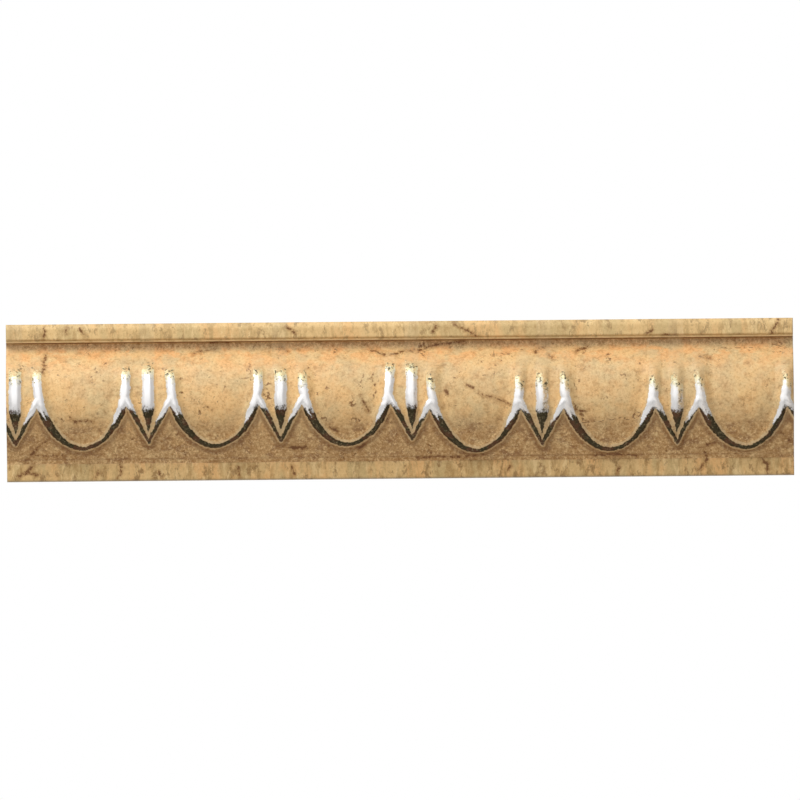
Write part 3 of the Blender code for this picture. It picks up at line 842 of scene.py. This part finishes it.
def fillet_tone(graph, down):
    """The fillets' print: upright panels of cream, grey and orange, with streaks that lean a little; with
    painted light towards the top edge, and painted shade on the lower fillet under the round.
    """
    panels = graph.noise(0.010, detail=3.0, roughness=0.6, stretch=(1.0, 1.0, 3.0), shift=0.17)
    tone = graph.mix(graph.share(panels, 0.40, 0.52), FILLET_ORANGE, FILLET_CREAM)
    grey = graph.noise(0.009, detail=3.0, stretch=(1.0, 1.0, 3.0), shift=0.53)
    tone = graph.mix(graph.share(grey, 0.46, 0.60, 0.0, 0.9), tone, FILLET_GREY)
    streaks = graph.noise(0.0026, detail=5.0, roughness=0.72, stretch=(1.0, 1.0, 3.6), turn=8.0)
    tone = graph.mix(graph.share(streaks, 0.47, 0.62, 0.0, 0.9), tone, FILLET_STREAK)
    pale = graph.noise(0.0022, detail=4.0, roughness=0.7, stretch=(1.0, 1.0, 3.4), shift=0.35, turn=-7.0)
    tone = graph.mix(graph.share(pale, 0.53, 0.68, 0.0, 0.7), tone, MARK_PALE)
    slanted = graph.noise(0.0030, detail=5.0, roughness=0.75, stretch=(1.0, 1.0, 1.8), shift=0.77, turn=25.0)
    tone = graph.mix(graph.share(slanted, 0.53, 0.62, 0.0, 0.85), tone, FILLET_VEIN)
    # Painted light: paler towards the top edge
    tone = graph.mix(graph.share(down, 8.0, 4.0, 0.0, 0.25), tone, MARK_PALE)
    # Painted shade: darker on the lower fillet, under the round
    return graph.mix(graph.share(down, 40.0, 44.0, 0.0, 0.22), tone, FILLET_STREAK)


def with_mottling(graph, tone, amount):
    """Darker and paler marks of 1 to 3 mm."""
    marks = graph.noise(0.0030, detail=4.0, roughness=0.72, shift=0.12)
    dark = graph.times(graph.share(marks, 0.49, 0.30, 0.0, 0.60), amount)
    tone = graph.mix(dark, tone, MARK_BROWN)
    light = graph.times(graph.share(marks, 0.52, 0.70, 0.0, 0.55), amount)
    return graph.mix(light, tone, MARK_PALE)


def with_specks(graph, tone, on_ground):
    """Dark specks and short broken veins, gathered in patches, and red-brown marks on the ground."""
    marks = graph.noise(0.0032, detail=5.0, roughness=0.75, stretch=(1.5, 1.0, 1.0), shift=0.71)
    marks = graph.times(graph.share(marks, 0.50, 0.63), graph.share(on_ground, 0.0, 1.0, 0.15, 0.75))
    tone = graph.mix(marks, tone, GROUND_STAIN)
    patches = graph.share(graph.noise(0.008, detail=3.0, shift=0.93), 0.44, 0.60, 0.25, 1.0)
    specks = graph.share(graph.noise(0.0017, detail=5.0, roughness=0.78, shift=0.41), 0.590, 0.645)
    tone = graph.mix(graph.times(specks, patches, 0.75), tone, VEIN_BROWN)
    bend = graph.noise_colour(0.003, detail=4.0)
    cracks = graph.crack_gap(0.021, bend, 0.35)
    broken = graph.share(graph.noise(0.007, detail=3.0, shift=0.67), 0.55, 0.60)
    gaps = graph.share(graph.noise(0.0012, detail=2.0, shift=0.57), 0.42, 0.55)
    cracks = graph.times(graph.share(cracks, 0.022, 0.008), broken, gaps, 0.85)
    return graph.mix(cracks, tone, VEIN_BROWN)


def with_veins(graph, tone, ragged):
    """The larger veins, each drawn as a row of ragged dashes in a softer brown stain."""
    gap = graph.math("ADD", graph.attribute("vein"), graph.times(ragged, 3.6))
    tone = graph.mix(graph.share(gap, 1.1, 0.1, 0.0, 0.40), tone, MARK_BROWN)
    solid = graph.share(gap, 0.25, -0.30, 0.0, 0.90)
    return graph.mix(solid, tone, VEIN_BROWN)


def with_edge_lines(graph, tone, down):
    """The pale arris of the ledge as a painted highlight, and painted shade over and under it, in the fold
    and at the foot.
    """
    uneven_line = graph.share(graph.noise(0.004, detail=3.0, shift=0.26), 0.35, 0.65, 0.35, 1.0)
    # Painted highlight along the ledge's arris
    tone = graph.mix(graph.times(graph.band(down, *ARRIS), uneven_line), tone, MARK_PALE)
    # Painted shade under the ledge, at the step and in the fold
    tone = graph.mix(graph.times(graph.band(down, *LEDGE_SHADE), 0.80), tone, VEIN_BROWN)
    tone = graph.mix(graph.times(graph.band(down, *STEP_SHADE), 0.25), tone, VEIN_BROWN)
    tone = graph.mix(graph.times(graph.band(down, *FOLD_SHADE), uneven_line, 0.35), tone, VEIN_BROWN)
    # Painted shade on the bottom edge, which turns down
    return graph.mix(graph.share(down, *FILLET_FOOT, 0.0, 0.45), tone, FOOT_SHADE_GREY)


def with_lustre_rim(graph, tone, edge):
    """The pale line round the painted lustre, and painted shade at the foot of the frames' outer slope."""
    down = graph.attribute("down")
    outside = graph.share(graph.attribute("crest_side"), -0.1, -0.4)
    wide = graph.times(graph.share(outside, 1.0, 0.0), graph.share(down, 29.0, 34.0, 0.0, 0.35))
    rim = graph.share(graph.math("ADD", edge, wide), -0.60, -0.10)
    patchy = graph.share(graph.noise(0.0012, detail=3.0, shift=0.37), 0.35, 0.58, 0.45, 1.0)
    rim = graph.times(rim, graph.share(down, 18.0, 26.0, 0.3, 0.8), patchy)
    # Painted shade where the outer slope turns down to the ground
    foot_shade = graph.times(graph.band(edge, -2.3, -1.3, -0.60, -0.30), outside, 0.46)
    tone = graph.mix(foot_shade, tone, VEIN_BROWN)
    return graph.mix(rim, tone, RIM_PALE)


def with_grain(graph, tone, amount):
    """The fine grain of the print, stronger where amount is 1."""
    fine = graph.noise(0.00085, detail=3.0, roughness=0.85)
    dark = graph.times(graph.share(fine, 0.50, 0.32), amount)
    tone = graph.mix(dark, tone, MARK_BROWN)
    light = graph.times(graph.share(fine, 0.50, 0.66), amount)
    return graph.mix(light, tone, GRAIN_PALE)


def print_tone(graph, down, ragged):
    """The whole marble print of the glaze."""
    on_round = graph.band(down, *ROUND_BAND)
    on_ground = graph.times(graph.share(down, *SUNK_GROUND), on_round)
    in_cove = graph.times(graph.share(down, *COVE_GRAIN), on_round)
    rough_part = graph.math("MAXIMUM", on_ground, in_cove)
    mottled = graph.share(rough_part, 0.0, 1.0, 0.75, 1.0)
    round_tone = with_mottling(graph, marble_tone(graph, down), mottled)
    tone = graph.mix(on_round, fillet_tone(graph, down), with_specks(graph, round_tone, on_ground))
    grain = graph.share(rough_part, 0.0, 1.0, 0.42, 0.72)
    tone = with_grain(graph, tone, graph.times(grain, graph.share(on_round, 0.0, 1.0, 0.6, 1.0)))
    return with_edge_lines(graph, with_veins(graph, tone, ragged), down)


def lustre_metal(graph, thin, ragged):
    """Bright, slightly yellow where it is thin, and painted dark where it looks down, as a painted
    reflection of the shade below.

    Returns its colour, and how dark it is.
    """
    metal = graph.mix(thin, LUSTRE_WHITE, LUSTRE_YELLOW)
    # Painted reflection: dark below the change, olive and brown with pale glints
    turned = graph.math("ADD", graph.attribute("dark"), graph.times(ragged, 7.0))
    dark = graph.share(turned, -1.3, 0.6)
    browner = graph.share(graph.noise(0.0040, detail=3.0, shift=0.2), 0.46, 0.60)
    dark_reflection = graph.mix(browner, LUSTRE_OLIVE, LUSTRE_BROWN)
    glints = graph.share(graph.noise(0.0008, detail=3.0, roughness=0.75, shift=0.6), 0.52, 0.68, 0.0, 0.7)
    dark_reflection = graph.mix(glints, dark_reflection, LUSTRE_GLINT)
    return graph.mix(dark, metal, dark_reflection), dark


def lustre_cover(graph, edge, below_top, unlit_side, ragged):
    """How much of the glaze the lustre covers, and how much is taken off the unlit side, as a painted loss
    of reflection.
    """
    # Painted loss of reflection on the unlit sides near the right end
    unlit_bare = graph.times(unlit_side, graph.share(graph.attribute("dark"), 0.2, -1.2))
    unlit_bare = graph.times(unlit_bare, graph.share(ragged, 0.06, -0.06, 0.45, 0.95))
    cover = graph.times(graph.share(edge, 0.0, 0.16), graph.share(below_top, -0.4, 2.0))
    return graph.times(cover, graph.math("SUBTRACT", 1.0, unlit_bare)), unlit_bare


def with_flecks(graph, tone, edge, below_top, unlit_bare):
    """Dark flecks in the thin lustre at the tops, and where it is taken off the unlit side as a painted loss
    of reflection.
    """
    flecks = graph.share(graph.noise(0.0011, detail=4.0, roughness=0.75, shift=0.83), 0.53, 0.60)
    flecked = graph.math("MAXIMUM", graph.share(below_top, 5.5, 2.0), graph.times(unlit_bare, 0.8))
    on_lustre = graph.times(graph.share(edge, 0.0, 0.2), graph.share(below_top, -0.6, 0.4))
    return graph.mix(graph.times(flecks, flecked, on_lustre), tone, LUSTRE_OLIVE)


def add_fine_relief(graph):
    """The glaze's faint grain, too fine for the mesh."""
    relief = graph.node("ShaderNodeBump")
    relief.inputs["Distance"].default_value = 0.00006
    relief.inputs["Strength"].default_value = 0.5
    graph.put(relief.inputs["Height"], graph.noise(0.0009, detail=3.0))
    graph.put(graph.shader.inputs["Normal"], relief.outputs["Normal"])


def glaze_material():
    """Printed marble glaze, with the metallic lustre over frames and darts."""
    graph = Graph("glaze_and_lustre")
    ragged = graph.math("SUBTRACT", graph.noise(0.0011, detail=5.0, roughness=0.75), 0.5)
    unlit_side = graph.attribute("unlit_side")
    edge = graph.math("ADD", graph.attribute("lustre"), graph.times(ragged, 1.4))
    below_top = graph.math("ADD", graph.attribute("lustre_fade"), graph.times(ragged, 9.0))
    # The lustre starts lower on the unlit sides, a painted loss of reflection
    below_top = graph.math("SUBTRACT", below_top, graph.times(unlit_side, 2.5))

    tone = print_tone(graph, graph.attribute("down"), ragged)
    tone = with_lustre_rim(graph, tone, edge)
    cover, unlit_bare = lustre_cover(graph, edge, below_top, unlit_side, ragged)
    thin = graph.share(below_top, 5.5, 1.0)
    metal, dark = lustre_metal(graph, thin, ragged)
    tone = with_flecks(graph, graph.mix(cover, tone, metal), edge, below_top, unlit_bare)
    graph.put(graph.shader.inputs["Base Color"], tone)

    shine = graph.times(graph.share(thin, 0.0, 1.0, 0.50, 0.15), graph.share(dark, 0.0, 1.0, 1.0, 1.6))
    graph.put(graph.shader.inputs["Metallic"], graph.times(cover, shine))
    graph.put(graph.shader.inputs["Roughness"], graph.share(cover, 0.0, 1.0, 0.48, 0.34))
    graph.shader.inputs["Specular IOR Level"].default_value = 0.30
    add_fine_relief(graph)
    return graph.material


def bisque_material():
    """The bare fired clay of the edges and the back."""
    graph = Graph("bare_clay")
    patches = graph.noise(0.006, detail=4.0)
    colour = graph.mix(graph.share(patches, 0.3, 0.7), BISQUE_DARK, BISQUE_PALE)
    graph.put(graph.shader.inputs["Base Color"], colour)
    graph.shader.inputs["Roughness"].default_value = 0.85
    return graph.material


def make_camera():
    """The camera square on to the face, far enough off for the ends to look straight."""
    data = bpy.data.cameras.new("camera")
    data.lens = LENS
    data.sensor_width = SENSOR
    camera = bpy.data.objects.new("camera", data)
    bpy.context.scene.collection.objects.link(camera)
    distance = PHOTO_SPAN * LENS / SENSOR
    camera.location = (0.0, -distance - FILLET_DEPTH, 0.0)
    upright = Matrix.Rotation(np.radians(90.0), 4, "X")
    camera.rotation_euler = (upright @ Matrix.Rotation(np.radians(-PHOTO_TILT), 4, "Z")).to_euler()
    data.clip_end = CLIP_END
    bpy.context.scene.camera = camera


def make_panel(name, location, aim, width, height, power):
    """A soft light panel that looks at a point."""
    data = bpy.data.lights.new(name, "AREA")
    data.shape = "RECTANGLE"
    data.size = width
    data.size_y = height
    data.energy = power
    panel = bpy.data.objects.new(name, data)
    panel.location = location
    panel.rotation_euler = (Vector(aim) - Vector(location)).to_track_quat("-Z", "Y").to_euler()
    panel.visible_camera = False
    bpy.context.scene.collection.objects.link(panel)
    return panel


def panel_place(azimuth, elevation, distance):
    """A place in front of the face, by degrees to the right of it and above it."""
    turn, lift = np.radians(azimuth), np.radians(elevation)
    flat = distance * np.cos(lift)
    return (flat * np.sin(turn), -flat * np.cos(turn), distance * np.sin(lift))


def make_world():
    """White to the camera, and a dim surround to everything else."""
    world = bpy.data.worlds.new("studio")
    world.use_nodes = True
    tree = world.node_tree
    tree.nodes.clear()
    output = tree.nodes.new("ShaderNodeOutputWorld")
    mix = tree.nodes.new("ShaderNodeMixShader")
    path = tree.nodes.new("ShaderNodeLightPath")
    dim = tree.nodes.new("ShaderNodeBackground")
    dim.inputs["Color"].default_value = SURROUND_TINT
    dim.inputs["Strength"].default_value = SURROUND
    white = tree.nodes.new("ShaderNodeBackground")
    white.inputs["Color"].default_value = WHITE
    tree.links.new(path.outputs["Is Camera Ray"], mix.inputs["Fac"])
    tree.links.new(dim.outputs["Background"], mix.inputs[1])
    tree.links.new(white.outputs["Background"], mix.inputs[2])
    tree.links.new(mix.outputs["Shader"], output.inputs["Surface"])
    bpy.context.scene.world = world


def make_floor():
    """A plain pale floor, well below the piece, which hangs on a wall in use."""
    work = bmesh.new()
    bmesh.ops.create_grid(work, x_segments=1, y_segments=1, size=FLOOR_HALF_WIDTH)
    mesh = bpy.data.meshes.new("floor")
    work.to_mesh(mesh)
    work.free()
    floor = bpy.data.objects.new("floor", mesh)
    floor.location = (0.0, 0.0, FLOOR_HEIGHT)
    material = bpy.data.materials.new("pale_floor")
    material.use_nodes = True
    shader = material.node_tree.nodes["Principled BSDF"]
    shader.inputs["Base Color"].default_value = FLOOR_PALE
    shader.inputs["Roughness"].default_value = 0.9
    mesh.materials.append(material)
    bpy.context.scene.collection.objects.link(floor)
    return floor


make_camera()
make_world()
make_panel("key", panel_place(*KEY_PLACE), CENTRE, *KEY_SIZE, KEY_POWER)
make_panel("front", panel_place(*FRONT_PLACE), CENTRE, *FRONT_SIZE, FRONT_POWER)
make_floor()
moulding = make_moulding([glaze_material(), bisque_material()])
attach(moulding, "root")
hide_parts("moulding")
bpy.context.scene.view_settings.view_transform = "Standard"
